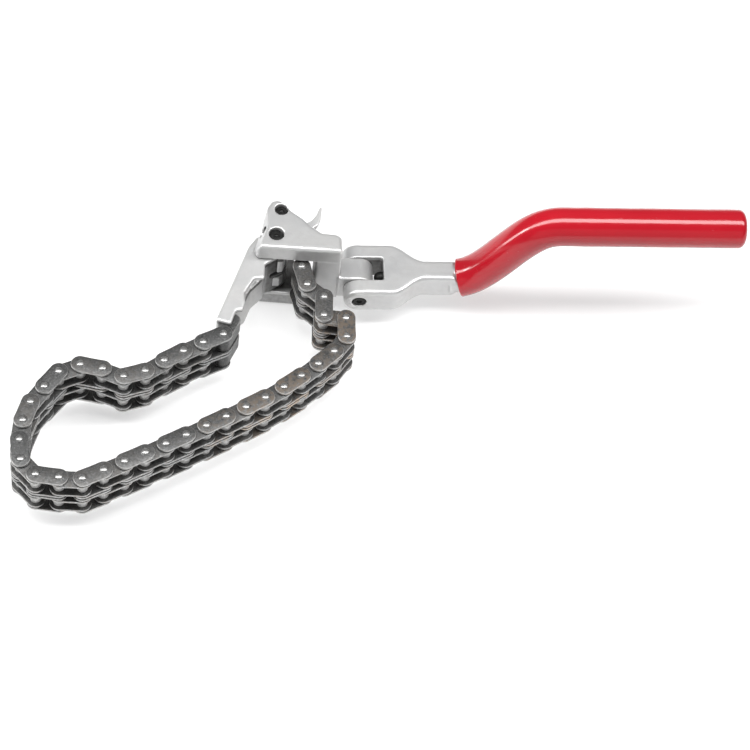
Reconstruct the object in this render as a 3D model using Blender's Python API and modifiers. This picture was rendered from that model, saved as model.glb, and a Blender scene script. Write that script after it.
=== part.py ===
"""Chain filter wrench: cast head with a flex tongue, pivoting jaw arm, release
lever, two-strand bush chain and a cranked bar handle with a dipped grip.

Metres, +Z up.  The chain lies in the XY plane and its pins stand along Z.
The handle leaves along +X.  The dimensions below are laid out from the axis
of the handle's flex pin; the finished part is then placed so that its origin
is a point on the flat underside of the head, beside the web."""
import bpy
import bmesh
import math
from mathutils import Matrix, Vector

MM = 0.001

# ---- driving dimensions, millimetres and degrees ----
ORIGIN_AT = (-26.0, 6.0)  # layout point that becomes the part's origin
HEAD_H = 40.5             # head, underside to top
SLOT_LO, SLOT_HI = 8.0, 32.0   # chain slot between the two plates
AXIS_Z = 15.5             # flex pin and shank centre height
ARM_PIVOT = (-36.7, 4.5)  # front pin through the head
LEVER_PIVOT = (-34.1, 17.6)    # rear pin through the head
SCREW_Y, SCREW_Z = 8.2, 36.2      # lock screw in the head's left face
JAW_PIN = (-60.0, -41.1)  # chain anchor at the jaw tip
SLOT_SEAT = (-25.6, -5.4)      # last chain pin, at the slot mouth

PITCH = 9.525             # chain pitch, 3/8 in
CHAIN_Z = 20.0            # middle of the two strands
PLATE_R = 4.0             # half width of a link plate
OUTER_Z = (9.85, 11.1)    # outer plates, distance from the chain's middle
INNER_OUT_Z = (8.25, 9.5)      # inner plates on the outer sides
INNER_IN_Z = (1.95, 3.2)  # inner plates on the middle side
CENTRE_HALF = 1.65        # half thickness of the middle plate
PIN_R = 1.5
PIN_HEAD_R = 1.75
PIN_HALF = 11.65
BUSH_R = 2.3
BORE_R = 1.85
POST_R = 0.5              # post that ties the two strands of an inner link

TONGUE_R = 6.6            # tongue end radius
TONGUE_HALF = 5.7         # half width of the tongue
FORK_HALF = 13.4          # half width of the fork
FORK_SLOT_HALF = 6.0
FORK_R = 6.7              # tine end radius and half thickness
FORK_SLOT_END = 10.7
FLEX_PIN_R = 3.0
SHANK_R = 6.4             # half height of the shank, and the bar's radius in the grip
SHANK_HALF = 5.3          # half width of the shank
GRIP_R = 8.5
GRIP_START = 44.0
GRIP_END = 164.0
CRANK_START, CRANK_END = 38.5, 86.5
CRANK_RISE = 38.4
GAP = 0.3

# Lay of the chain from the jaw to the slot: (links in the run, heading of its
# first link, heading of its last link).  Headings are degrees from +X.
LAY = ((4, 205.9, 214.0), (1, 197.2, 197.2), (2, 156.4, 167.7), (1, 202.4, 202.4),
       (2, 232.1, 234.2), (3, 251.0, 274.2), (1, 310.1, 310.1), (2, 351.3, 356.9),
       (9, 385.6, 390.3), (4, 394.2, 402.8), (1, 413.6, 413.6), (1, 449.0, 449.0),
       (1, 531.4, 531.4), (1, 447.5, 447.5), (1, 497.1, 497.1), (1, 462.2, 462.2))
LEFT_END = (8, 13)        # links whose headings take up the closing error
LOWER_RUN = (16, 29)


def clear_scene():
    for ob in list(bpy.data.objects):
        bpy.data.objects.remove(ob, do_unlink=True)
    for coll in list(bpy.data.collections):
        bpy.data.collections.remove(coll)


clear_scene()
PARTS = bpy.data.collections.new("chain_filter_wrench")
CUTTERS = bpy.data.collections.new("cutters")
bpy.context.scene.collection.children.link(PARTS)
bpy.context.scene.collection.children.link(CUTTERS)


# ---------------------------------------------------------------- materials
def material(name, rgb, rough, metal):
    m = bpy.data.materials.new(name)
    m.use_nodes = True
    b = m.node_tree.nodes["Principled BSDF"]
    b.inputs["Base Color"].default_value = (*rgb, 1.0)
    b.inputs["Roughness"].default_value = rough
    b.inputs["Metallic"].default_value = metal
    m.diffuse_color = (*rgb, 1.0)
    return m


CAST = (0.62, 0.62, 0.61)
STEEL = (0.20, 0.19, 0.18)
BLACK = (0.02, 0.02, 0.02)
SPRING = (0.35, 0.35, 0.36)
RED = (0.62, 0.02, 0.03)


# ------------------------------------------------------------------ helpers
def finish(ob, name, rgb, rough, metal, smooth=35):
    ob.name = name
    ob.data.name = name
    ob.data.materials.clear()
    ob.data.materials.append(material(name + "_finish", rgb, rough, metal))
    ob.data.shade_smooth()
    ob.data.set_sharp_from_angle(angle=math.radians(smooth))
    for coll in list(ob.users_collection):
        coll.objects.unlink(ob)
    PARTS.objects.link(ob)
    return ob


def as_mesh(ob, weld=0.00002):
    """Evaluated copy of an object as a plain mesh object in world space."""
    bpy.context.view_layer.update()
    deps = bpy.context.evaluated_depsgraph_get()
    me = bpy.data.meshes.new_from_object(ob.evaluated_get(deps))
    me.transform(ob.matrix_world)
    bm = bmesh.new()
    bm.from_mesh(me)
    bmesh.ops.remove_doubles(bm, verts=bm.verts, dist=weld)
    bmesh.ops.recalc_face_normals(bm, faces=bm.faces)
    bm.to_mesh(me)
    bm.free()
    new = bpy.data.objects.new(ob.name + "_mesh", me)
    CUTTERS.objects.link(new)
    bpy.data.objects.remove(ob, do_unlink=True)
    return new


def prism(outline, z0, z1, bevel=0.0, segments=1):
    """Flat outline (mm, counter-clockwise) extruded from z0 to z1."""
    cu = bpy.data.curves.new("outline", "CURVE")
    cu.dimensions = "2D"
    cu.fill_mode = "BOTH"
    cu.extrude = (z1 - z0) / 2 * MM
    sp = cu.splines.new("POLY")
    sp.points.add(len(outline) - 1)
    for p, (x, y) in zip(sp.points, outline):
        p.co = (x * MM, y * MM, 0, 1)
    sp.use_cyclic_u = True
    ob = bpy.data.objects.new("outline", cu)
    ob.location = (0, 0, (z0 + z1) / 2 * MM)
    CUTTERS.objects.link(ob)
    new = as_mesh(ob)
    if bevel:
        mod = new.modifiers.new("edge", "BEVEL")
        mod.width = bevel * MM
        mod.segments = segments
        mod.limit_method = "ANGLE"
        mod.angle_limit = math.radians(40)
        new = as_mesh(new, 0.000001)
    return new


def cylinder(x, y, z0, z1, r, sides=16, turn=0.5):
    bpy.ops.mesh.primitive_cylinder_add(vertices=sides, radius=r * MM, depth=(z1 - z0) * MM)
    ob = bpy.context.object
    ob.matrix_world = (Matrix.Translation((x * MM, y * MM, (z0 + z1) / 2 * MM))
                       @ Matrix.Rotation(math.pi * 2 * turn / sides, 4, "Z"))
    return as_mesh(ob)


def cylinder_y(x, z, y0, y1, r, sides=16):
    bpy.ops.mesh.primitive_cylinder_add(vertices=sides, radius=r * MM, depth=(y1 - y0) * MM)
    ob = bpy.context.object
    ob.matrix_world = (Matrix.Translation((x * MM, (y0 + y1) / 2 * MM, z * MM))
                       @ Matrix.Rotation(math.pi / 2, 4, "X")
                       @ Matrix.Rotation(math.pi / sides, 4, "Z"))
    return as_mesh(ob)


def cylinder_x(y, z, x0, x1, r, sides=12):
    bpy.ops.mesh.primitive_cylinder_add(vertices=sides, radius=r * MM, depth=(x1 - x0) * MM)
    ob = bpy.context.object
    ob.matrix_world = (Matrix.Translation(((x0 + x1) / 2 * MM, y * MM, z * MM))
                       @ Matrix.Rotation(math.pi / 2, 4, "Y")
                       @ Matrix.Rotation(math.pi / sides, 4, "Z"))
    return as_mesh(ob)


def box(x0, x1, y0, y1, z0, z1):
    bpy.ops.mesh.primitive_cube_add(size=1.0)
    ob = bpy.context.object
    ob.matrix_world = (Matrix.Translation(((x0 + x1) / 2 * MM, (y0 + y1) / 2 * MM, (z0 + z1) / 2 * MM))
                       @ Matrix.Diagonal(((x1 - x0) * MM, (y1 - y0) * MM, (z1 - z0) * MM, 1.0)))
    return as_mesh(ob)


def turned(profile, matrix, steps=16):
    """Profile of (radius, height) in mm, top to bottom, spun about local Z."""
    me = bpy.data.meshes.new("profile")
    bm = bmesh.new()
    vs = [bm.verts.new((r * MM, 0, z * MM)) for r, z in profile]
    for a, b in zip(vs, vs[1:]):
        bm.edges.new((a, b))
    bm.to_mesh(me)
    bm.free()
    ob = bpy.data.objects.new("turned", me)
    CUTTERS.objects.link(ob)
    mod = ob.modifiers.new("spin", "SCREW")
    mod.axis = "Z"
    mod.steps = mod.render_steps = steps
    mod.use_merge_vertices = True
    mod.merge_threshold = 0.000001
    ob.matrix_world = matrix
    return as_mesh(ob, 0.000005)


def tube(points, radius, resolution=2, cyclic=False):
    """Round bar of radius mm along points (mm)."""
    cu = bpy.data.curves.new("bar", "CURVE")
    cu.dimensions = "3D"
    cu.bevel_depth = radius * MM
    cu.bevel_resolution = resolution
    cu.use_fill_caps = True
    sp = cu.splines.new("POLY")
    sp.points.add(len(points) - 1)
    for p, co in zip(sp.points, points):
        p.co = (co[0] * MM, co[1] * MM, co[2] * MM, 1)
    ob = bpy.data.objects.new("bar", cu)
    CUTTERS.objects.link(ob)
    return as_mesh(ob)


def combine(base, other, operation):
    mod = base.modifiers.new("op", "BOOLEAN")
    mod.solver = "EXACT"
    mod.operation = operation
    mod.object = other
    new = as_mesh(base, 0.000002)
    bpy.data.objects.remove(other, do_unlink=True)
    return new


def union(base, *others):
    for other in others:
        base = combine(base, other, "UNION")
    return base


def cut(base, *others):
    for other in others:
        base = combine(base, other, "DIFFERENCE")
    return base


def set_origin(ob, x, y, z):
    """Move an object's origin to a joint axis without moving its shape."""
    v = Vector((x * MM, y * MM, z * MM))
    ob.data.transform(Matrix.Translation(-v))
    ob.location = v
    return ob


def arc(cx, cy, r, a0, a1, n):
    return [(cx + r * math.cos(math.radians(a0 + (a1 - a0) * i / n)),
             cy + r * math.sin(math.radians(a0 + (a1 - a0) * i / n))) for i in range(n + 1)]


def stadium(length, r, n=4):
    """Oblong about the points (0, 0) and (length, 0)."""
    return arc(length, 0, r, -90, 90, n) + arc(0, 0, r, 90, 270, n)


# --------------------------------------------------------------------- head
def head_outline(inset=0.0, right=-8.6):
    return [(-46.0 + inset, 0.4), (-45.0 + inset, -1.9 + inset), (-43.0 + inset, -2.9 + inset),
            (right - inset, -5.0 + inset), (right - inset, 2.4), (-10.4 - inset, 4.6 - inset),
            (-17.2, 5.6 - inset), (-19.2 - inset * 0.5, 7.1 - inset), (-22.6, 10.4 - inset),
            (-24.9, 13.2 - inset), (-30.2, 17.6 - inset), (-31.8, 20.8 - inset), (-35.2, 23.1 - inset),
            (-38.0 + inset, 22.5 - inset), (-39.8 + inset, 20.0)]


def build_head():
    top = prism(head_outline(), SLOT_HI, HEAD_H, bevel=1.2, segments=2)
    low = prism([(x, y) for x, y in head_outline(right=-16.5)], 0.0, SLOT_LO, bevel=1.2, segments=1)
    web = prism([(-19.5, -4.1), (-8.6, -4.75), (-8.6, 2.4), (-10.4, 4.4), (-17.2, 5.4), (-19.5, 7.0)],
                SLOT_LO - 1.4, SLOT_HI + 2.0)
    neck = box(-9.2, 0.0, -TONGUE_HALF, TONGUE_HALF, AXIS_Z - TONGUE_R, AXIS_Z + TONGUE_R)
    nose = cylinder_y(0, AXIS_Z, -TONGUE_HALF, TONGUE_HALF, TONGUE_R, 24)
    body = union(top, web, low, neck, nose)
    body = cut(body,
               cylinder(*ARM_PIVOT, -1, HEAD_H + 1, 2.8),
               cylinder(*LEVER_PIVOT, -1, HEAD_H + 1, 2.5),
               cylinder_y(0, AXIS_Z, -9, 9, FLEX_PIN_R + 0.15, 20),
               cylinder_x(SCREW_Y, SCREW_Z, -49, -38.0, 2.6, 12))
    return finish(body, "head_body", CAST, 0.42, 1.0)


# ---------------------------------------------------------------- jaw arm
def build_arm():
    hx, hy = ARM_PIVOT
    jx, jy = JAW_PIN
    top = SLOT_HI - 0.4
    low = SLOT_LO + 0.4
    upper = [(jx + 3.2, jy + 4.6), (-54.4, -29.6), (-51.6, -29.2), (-50.3, -25.2), (-50.5, -20.2),
             (-46.3, -12.8), (-41.8, -12.6), (-41.3, -5.0)]
    upper += arc(hx, hy, 5.9, -75, 75, 6)
    upper += [(-44.5, 9.6), (-48.2, 4.4), (-57.0, -18.5), (jx - 3.2, jy + 6.6)]
    lower = [(jx + 3.2, jy + 4.6), (-54.0, -30.0), (-50.2, -26.0), (-47.4, -18.8),
             (-42.2, -13.4), (-41.3, -5.0)]
    lower += arc(hx, hy, 5.9, -75, 75, 6)
    lower += [(-44.5, 9.6), (-48.2, 4.4), (-57.0, -18.5), (jx - 3.2, jy + 6.6)]
    # the foot is full only at the tip and the hub, and narrow between them
    foot = [(jx + 3.2, jy + 4.6), (-55.8, -31.0), (-52.6, -24.0), (-47.6, -12.5), (-41.3, -5.0)]
    foot += arc(hx, hy, 5.9, -75, 75, 6)
    foot += [(-44.5, 9.6), (-48.2, 4.4), (-57.0, -18.5), (jx - 3.2, jy + 6.6)]
    arm = union(prism(lower, 15.2, 25.0), prism(upper, 24.0, top), prism(foot, low, 16.0))
    # two lugs at the tip carry the chain's first pin
    ang = math.degrees(math.atan2(hy - jy, hx - jx))
    lug = stadium(9.0, 3.4, 6)
    for z0, z1 in ((CHAIN_Z + CENTRE_HALF + GAP, CHAIN_Z + OUTER_Z[0] - GAP),
                   (CHAIN_Z - OUTER_Z[0] + GAP, CHAIN_Z - CENTRE_HALF - GAP)):
        ob = prism(lug, z0, z1)
        ob.data.transform(Matrix.Translation((jx * MM, jy * MM, 0)) @ Matrix.Rotation(math.radians(ang), 4, "Z"))
        arm = union(arm, ob)
    # toothed nose beside the slot, one tooth for each strand
    for z0, z1 in ((CHAIN_Z + 3.5, CHAIN_Z + 7.4), (CHAIN_Z - 7.4, CHAIN_Z - 3.5)):
        arm = union(arm, prism([(-35.0, -1.4), (-33.6, -2.6), (-30.9, -1.9), (-29.9, 0.3),
                                (-30.6, 3.0), (-33.0, 6.0)], z0, z1))
    arm = cut(arm,
              cylinder(jx, jy, low - 1, top + 1, PIN_R + 0.2, 12),
              cylinder(hx, hy, low - 1, top + 1, 2.95),
              box(hx - 2.0, -28.0, hy - 8.0, hy + 2.0, CHAIN_Z - 1.2, CHAIN_Z + 1.2))
    finish(arm, "jaw_arm", CAST, 0.45, 1.0)
    return set_origin(arm, hx, hy, 0)


# ------------------------------------------------------------ release lever
def build_lever():
    lx, ly = LEVER_PIVOT
    hub = arc(lx, ly, 4.3, -70, 55, 7)
    tail = [(-30.5, 16.5), (-24.0, 18.0), (-19.6, 19.4), (-17.0, 21.8), (-15.6, 25.6), (-14.9, 31.3),
            (-15.9, 31.5), (-17.6, 27.2), (-19.8, 24.0), (-23.0, 22.2), (-30.5, 21.5)]
    back = arc(lx, ly, 4.3, 74, 180, 5)
    nose = [(-39.8, 14.6), (-38.9, 12.4), (-36.6, 12.3)]
    lever = union(prism(hub + back + nose, 16.0, 25.0), prism(tail, 21.4, 24.4))
    lever = cut(lever, cylinder(lx, ly, 10, 30, 2.65))
    finish(lever, "release_lever", CAST, 0.4, 1.0)
    return set_origin(lever, lx, ly, 0)


def build_lever_spring():
    lx, ly = LEVER_PIVOT
    n, turns, r = 10, 3, 3.35
    pts = [(lx + r * math.cos(2 * math.pi * i / n), ly + r * math.sin(2 * math.pi * i / n),
            10.0 + 4.6 * i / (n * turns)) for i in range(n * turns + 1)]
    coil = tube(pts, 0.45, 0)
    return finish(coil, "lever_spring", SPRING, 0.3, 1.0)


def build_pins():
    for name, (x, y), r in (("arm_pivot_pin", ARM_PIVOT, 2.6), ("lever_pin", LEVER_PIVOT, 2.3)):
        pin = turned([(0, HEAD_H - 1.4), (r - 0.5, HEAD_H - 1.4), (r, HEAD_H - 1.9),
                      (r, 1.2), (r - 0.5, 0.7), (0, 0.7)],
                     Matrix.Translation((x * MM, y * MM, 0)))
        finish(pin, name, BLACK, 0.5, 0.6)
    screw = cylinder_x(SCREW_Y, SCREW_Z, -43.0, -39.0, 2.3, 12)
    screw = cut(screw, cylinder_x(SCREW_Y, SCREW_Z, -45.0, -41.2, 1.2, 6))
    finish(screw, "pin_lock_screw", BLACK, 0.5, 0.6)
    pin = turned([(0, FORK_HALF - 0.5), (FLEX_PIN_R - 0.4, FORK_HALF - 0.5), (FLEX_PIN_R, FORK_HALF - 0.9),
                  (FLEX_PIN_R, -FORK_HALF + 0.9), (FLEX_PIN_R - 0.4, -FORK_HALF + 0.5), (0, -FORK_HALF + 0.5)],
                 Matrix.Translation((0, 0, AXIS_Z * MM)) @ Matrix.Rotation(math.pi / 2, 4, "X"), 20)
    finish(pin, "flex_pin", BLACK, 0.5, 0.6)
    set_origin(pin, 0, 0, AXIS_Z)


# ------------------------------------------------------------------- handle
def crank(x):
    """Height of the bar's centre line at x."""
    t = min(max((x - CRANK_START) / (CRANK_END - CRANK_START), 0.0), 1.0)
    return AXIS_Z + CRANK_RISE * t * t * t * (t * (6 * t - 15) + 10)


def bar_points(x0, x1, step=3.5):
    """Stations on the bar's centre line, the same ones for the bar and its grip."""
    n = round((CRANK_END - CRANK_START) / step)
    grid = [CRANK_START + (CRANK_END - CRANK_START) * i / n for i in range(n + 1)]
    xs = [x0] + [x for x in grid if x0 + 1.0 < x < x1 - 1.0] + [x1]
    return [(x, 0.0, crank(x)) for x in xs]


def build_handle():
    # plan outline of the fork, symmetric about the handle's axis
    half = [(0.0, FORK_HALF), (14.0, FORK_HALF)]
    for i in range(1, 9):
        t = i / 8
        half.append((14.0 + 15.0 * t, SHANK_HALF + (FORK_HALF - SHANK_HALF) * (0.5 + 0.5 * math.cos(math.pi * t))))
    half.append((GRIP_START - 2.8, SHANK_HALF))
    outline = [(x, y) for x, y in reversed(half)] + [(x, -y) for x, y in half]
    body = prism(outline, AXIS_Z - FORK_R, AXIS_Z + FORK_R, bevel=1.6, segments=1)
    for v in body.data.vertices:
        # the shank is a little thinner than the fork
        if v.co.x > 20.0 * MM:
            v.co.z = (AXIS_Z + (v.co.z / MM - AXIS_Z) * SHANK_R / FORK_R) * MM
    ends = cylinder_y(0, AXIS_Z, -FORK_HALF + 0.2, FORK_HALF - 0.2, FORK_R, 24)
    bar = tube([(24.0, 0, AXIS_Z)] + bar_points(34.0, GRIP_END - 3.0), SHANK_R, 2)
    body = union(body, ends, bar)
    body = cut(body,
               box(-9.0, FORK_SLOT_END, -FORK_SLOT_HALF, FORK_SLOT_HALF, AXIS_Z - 9, AXIS_Z + 9),
               cylinder_y(0, AXIS_Z, -16, 16, FLEX_PIN_R + 0.15, 20),
               cylinder_x(0, AXIS_Z, FORK_SLOT_END - 1, 23.0, 2.9, 12))
    finish(body, "handle_bar", CAST, 0.45, 1.0)
    set_origin(body, 0, 0, AXIS_Z)

    pl = turned([(0, 6.0), (1.3, 5.6), (2.3, 4.4), (2.6, 3.0), (2.6, 0.0), (0, 0.0)],
                Matrix.Translation((13.0 * MM, 0, AXIS_Z * MM)) @ Matrix.Rotation(-math.pi / 2, 4, "Y"), 12)
    finish(pl, "friction_plunger", STEEL, 0.35, 1.0)
    set_origin(pl, 0, 0, AXIS_Z)
    n, turns, r = 8, 5, 2.0
    pts = [(14.0 + 8.0 * i / (n * turns), r * math.cos(2 * math.pi * i / n),
            AXIS_Z + r * math.sin(2 * math.pi * i / n)) for i in range(n * turns + 1)]
    coil = tube(pts, 0.4, 0)
    finish(coil, "plunger_spring", SPRING, 0.3, 1.0)
    set_origin(coil, 0, 0, AXIS_Z)

    outer = tube(bar_points(GRIP_START, GRIP_END), GRIP_R, 2)
    mod = outer.modifiers.new("round", "BEVEL")
    mod.width = 1.6 * MM
    mod.segments = 2
    mod.limit_method = "ANGLE"
    mod.angle_limit = math.radians(50)
    outer = as_mesh(outer, 0.000001)
    inner = tube([(GRIP_START - 4.0, 0, crank(GRIP_START - 4.0))] + bar_points(GRIP_START, GRIP_END - 2.6),
                 SHANK_R + GAP, 2)
    grip = cut(outer, inner)
    finish(grip, "grip", RED, 0.3, 0.0)
    set_origin(grip, 0, 0, AXIS_Z)


# -------------------------------------------------------------------- chain
def link_headings():
    out = []
    for n, a, b in LAY:
        out += [a + (b - a) * (i / max(n - 1, 1)) for i in range(n)]
    return out


def walk(headings):
    pts = [JAW_PIN]
    for h in headings:
        x, y = pts[-1]
        pts.append((x + PITCH * math.cos(math.radians(h)), y + PITCH * math.sin(math.radians(h))))
    return pts


def chain_pins():
    """Pin centres.  Two small turns, one on the left end and one on the lower
    run, bring the last pin onto the slot seat."""
    base = link_headings()

    def lay(d1, d2):
        return [h + (d1 if LEFT_END[0] <= i < LEFT_END[1] else 0) + (d2 if LOWER_RUN[0] <= i < LOWER_RUN[1] else 0)
                for i, h in enumerate(base)]

    d = [0.0, 0.0]
    for _ in range(12):
        end = walk(lay(*d))[-1]
        err = (end[0] - SLOT_SEAT[0], end[1] - SLOT_SEAT[1])
        cols = []
        for j in range(2):
            e = list(d)
            e[j] += 0.01
            q = walk(lay(*e))[-1]
            cols.append(((q[0] - end[0]) / 0.01, (q[1] - end[1]) / 0.01))
        (a, c), (b, f) = cols
        det = a * f - b * c
        d[0] -= (f * err[0] - b * err[1]) / det
        d[1] -= (a * err[1] - c * err[0]) / det
    hs = lay(*d)
    return walk(hs), hs


def outer_link_mesh():
    z0, z1 = OUTER_Z
    body = prism(stadium(PITCH, PLATE_R), z0, z1)
    body = union(body, prism(stadium(PITCH, PLATE_R), -z1, -z0),
                 prism(stadium(PITCH, PLATE_R - 0.1), -CENTRE_HALF, CENTRE_HALF))
    for x in (0, PITCH):
        body = union(body, cylinder(x, 0, -PIN_HALF + 0.2, PIN_HALF - 0.2, PIN_R, 6),
                     cylinder(x, 0, z1 - 0.4, PIN_HALF, PIN_HEAD_R, 6),
                     cylinder(x, 0, -PIN_HALF, -z1 + 0.4, PIN_HEAD_R, 6))
    body.name = "outer_link"
    return body.data


def inner_link_mesh():
    body = None
    for s in (1, -1):
        a, b = sorted((s * INNER_OUT_Z[0], s * INNER_OUT_Z[1]))
        c, d = sorted((s * INNER_IN_Z[0], s * INNER_IN_Z[1]))
        plates = union(prism(stadium(PITCH, PLATE_R - 0.1), a, b), prism(stadium(PITCH, PLATE_R - 0.1), c, d))
        body = plates if body is None else union(body, plates)
        lo, hi = sorted((s * (INNER_IN_Z[1] - 0.4), s * (INNER_OUT_Z[0] + 0.4)))
        for x in (0, PITCH):
            body = union(body, cylinder(x, 0, lo, hi, BUSH_R, 8))
    body = union(body, cylinder(PITCH / 2, 0, -INNER_IN_Z[0] - 0.4, INNER_IN_Z[0] + 0.4, POST_R, 4))
    for x in (0, PITCH):
        body = cut(body, cylinder(x, 0, -12, -1.7, BORE_R, 6))
        body = cut(body, cylinder(x, 0, 1.7, 12, BORE_R, 6))
    body.name = "inner_link"
    return body.data


def build_chain():
    pins, hs = chain_pins()
    shapes = {"outer": outer_link_mesh(), "inner": inner_link_mesh()}
    for kind, me in shapes.items():
        me.materials.clear()
        me.materials.append(material(kind + "_link_finish", STEEL, 0.42, 0.9))
        me.shade_smooth()
        me.set_sharp_from_angle(angle=math.radians(35))
    for i, ((x, y), h) in enumerate(zip(pins, hs)):
        kind = "outer" if i % 2 == 0 else "inner"
        ob = bpy.data.objects.new(f"{kind}_link_{i // 2 + 1:02d}", shapes[kind])
        ob.location = (x * MM, y * MM, CHAIN_Z * MM)
        ob.rotation_euler = (0, 0, math.radians(h))
        PARTS.objects.link(ob)


build_head()
build_arm()
build_lever()
build_lever_spring()
build_pins()
build_handle()
build_chain()

for helper in list(CUTTERS.objects):
    bpy.data.objects.remove(helper, do_unlink=True)

# every piece hangs from one empty, which carries the layout to the part's origin
datum = bpy.data.objects.new("layout_datum", None)
datum.location = (-ORIGIN_AT[0] * MM, -ORIGIN_AT[1] * MM, 0.0)
PARTS.objects.link(datum)
for piece in list(PARTS.objects):
    if piece is not datum:
        piece.parent = datum
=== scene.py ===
import bpy
import bmesh
import math
import numpy as np
from mathutils import Matrix, Vector


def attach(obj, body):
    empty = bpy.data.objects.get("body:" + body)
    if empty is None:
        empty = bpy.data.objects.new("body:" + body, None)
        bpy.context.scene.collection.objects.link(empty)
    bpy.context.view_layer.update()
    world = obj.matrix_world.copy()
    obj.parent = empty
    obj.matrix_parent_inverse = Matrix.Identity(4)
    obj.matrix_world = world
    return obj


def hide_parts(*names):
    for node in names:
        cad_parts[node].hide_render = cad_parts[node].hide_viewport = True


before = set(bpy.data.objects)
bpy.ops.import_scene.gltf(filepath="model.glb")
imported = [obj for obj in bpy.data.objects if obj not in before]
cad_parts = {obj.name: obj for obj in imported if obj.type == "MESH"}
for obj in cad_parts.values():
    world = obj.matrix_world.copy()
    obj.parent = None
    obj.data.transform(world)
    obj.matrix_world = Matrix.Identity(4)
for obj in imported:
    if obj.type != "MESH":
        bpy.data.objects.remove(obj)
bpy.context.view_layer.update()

# Layout millimetres: flex pin at X = Y = 0, head underside at Z = 0.
OX, OY = 26.0, -6.0
HEAD_H = 40.5
SLOT_LO, SLOT_HI = 8.0, 32.0
AXIS_Z = 15.5
ARM_PIVOT = (-36.7, 4.5)
LEVER_PIVOT = (-34.1, 17.6)
SCREW_Y, SCREW_Z = 8.2, 36.2
JAW_PIN = (-60.0, -41.1)
SLOT_SEAT = (-25.6, -5.4)
PITCH = 9.525
CHAIN_Z = 20.0
TONGUE_R, TONGUE_HALF = 6.6, 5.7
FORK_HALF, FORK_SLOT_HALF, FORK_R, FORK_SLOT_END = 13.4, 6.0, 6.7, 10.7
FLEX_PIN_R = 3.0
SHANK_R, SHANK_HALF, GRIP_R = 6.4, 5.3, 8.5
GRIP_START, GRIP_END = 44.0, 164.0
CRANK_START, CRANK_END, CRANK_RISE = 38.5, 86.5, 38.4
LAY = ((4, 205.9, 214.0), (1, 197.2, 197.2), (2, 156.4, 167.7), (1, 202.4, 202.4),
       (2, 232.1, 234.2), (3, 251.0, 274.2), (1, 310.1, 310.1), (2, 351.3, 356.9),
       (9, 385.6, 390.3), (4, 394.2, 402.8), (1, 413.6, 413.6), (1, 449.0, 449.0),
       (1, 531.4, 531.4), (1, 447.5, 447.5), (1, 497.1, 497.1), (1, 462.2, 462.2))
LEFT_END = (8, 13)
LOWER_RUN = (16, 29)

NEW = bpy.data.collections.new("looks")
bpy.context.scene.collection.children.link(NEW)


# ------------------------------------------------------------------ node help
def new_material(name):
    m = bpy.data.materials.new(name)
    m.use_nodes = True
    nt = m.node_tree
    nt.nodes.clear()
    out = nt.nodes.new("ShaderNodeOutputMaterial")
    b = nt.nodes.new("ShaderNodeBsdfPrincipled")
    nt.links.new(b.outputs[0], out.inputs[0])
    return m, nt, b


def node(nt, kind, **vals):
    n = nt.nodes.new(kind)
    for k, v in vals.items():
        if k in n.inputs:
            n.inputs[k].default_value = v
        else:
            setattr(n, k, v)
    return n


def coords(nt):
    return nt.nodes.new("ShaderNodeTexCoord").outputs["Object"]


def noise(nt, co, scale, detail=4.0, rough=0.55, stretch=None):
    if stretch:
        mp = node(nt, "ShaderNodeMapping")
        mp.inputs["Scale"].default_value = stretch
        nt.links.new(co, mp.inputs["Vector"])
        co = mp.outputs["Vector"]
    n = node(nt, "ShaderNodeTexNoise")
    n.inputs["Scale"].default_value = scale
    n.inputs["Detail"].default_value = detail
    n.inputs["Roughness"].default_value = rough
    nt.links.new(co, n.inputs["Vector"])
    return n.outputs["Fac"]


def ramp(nt, fac, stops):
    r = node(nt, "ShaderNodeValToRGB")
    el = r.color_ramp.elements
    while len(el) > 1:
        el.remove(el[-1])
    el[0].position = stops[0][0]
    el[0].color = (*stops[0][1], 1)
    for p, c in stops[1:]:
        e = el.new(p)
        e.color = (*c, 1)
    nt.links.new(fac, r.inputs["Fac"])
    return r.outputs["Color"]


def span(nt, fac, a, b, lo, hi):
    r = node(nt, "ShaderNodeMapRange")
    r.inputs["From Min"].default_value = a
    r.inputs["From Max"].default_value = b
    r.inputs["To Min"].default_value = lo
    r.inputs["To Max"].default_value = hi
    nt.links.new(fac, r.inputs["Value"])
    return r.outputs["Result"]


def mix(nt, fac, a, b, mode="MIX"):
    m = node(nt, "ShaderNodeMix", data_type="RGBA", blend_type=mode)
    for sock, v in ((m.inputs[0], fac), (m.inputs[6], a), (m.inputs[7], b)):
        if isinstance(v, (float, int)):
            sock.default_value = v
        elif isinstance(v, tuple):
            sock.default_value = (*v, 1)
        else:
            nt.links.new(v, sock)
    return m.outputs[2]


def maths(nt, op, a, b=0.0, clamp=False):
    m = node(nt, "ShaderNodeMath", operation=op, use_clamp=clamp)
    for sock, v in ((m.inputs[0], a), (m.inputs[1], b)):
        if isinstance(v, (float, int)):
            sock.default_value = v
        else:
            nt.links.new(v, sock)
    return m.outputs[0]


def attribute(nt, name):
    a = node(nt, "ShaderNodeAttribute")
    a.attribute_name = name
    return a.outputs["Fac"]


def bumps(nt, b, layers):
    """layers: (height socket, distance in metres, strength)"""
    prev = None
    for h, dist, strength in layers:
        n = node(nt, "ShaderNodeBump")
        n.inputs["Distance"].default_value = dist
        n.inputs["Strength"].default_value = strength
        nt.links.new(h, n.inputs["Height"])
        if prev:
            nt.links.new(prev, n.inputs["Normal"])
        prev = n.outputs["Normal"]
    nt.links.new(prev, b.inputs["Normal"])


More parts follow.
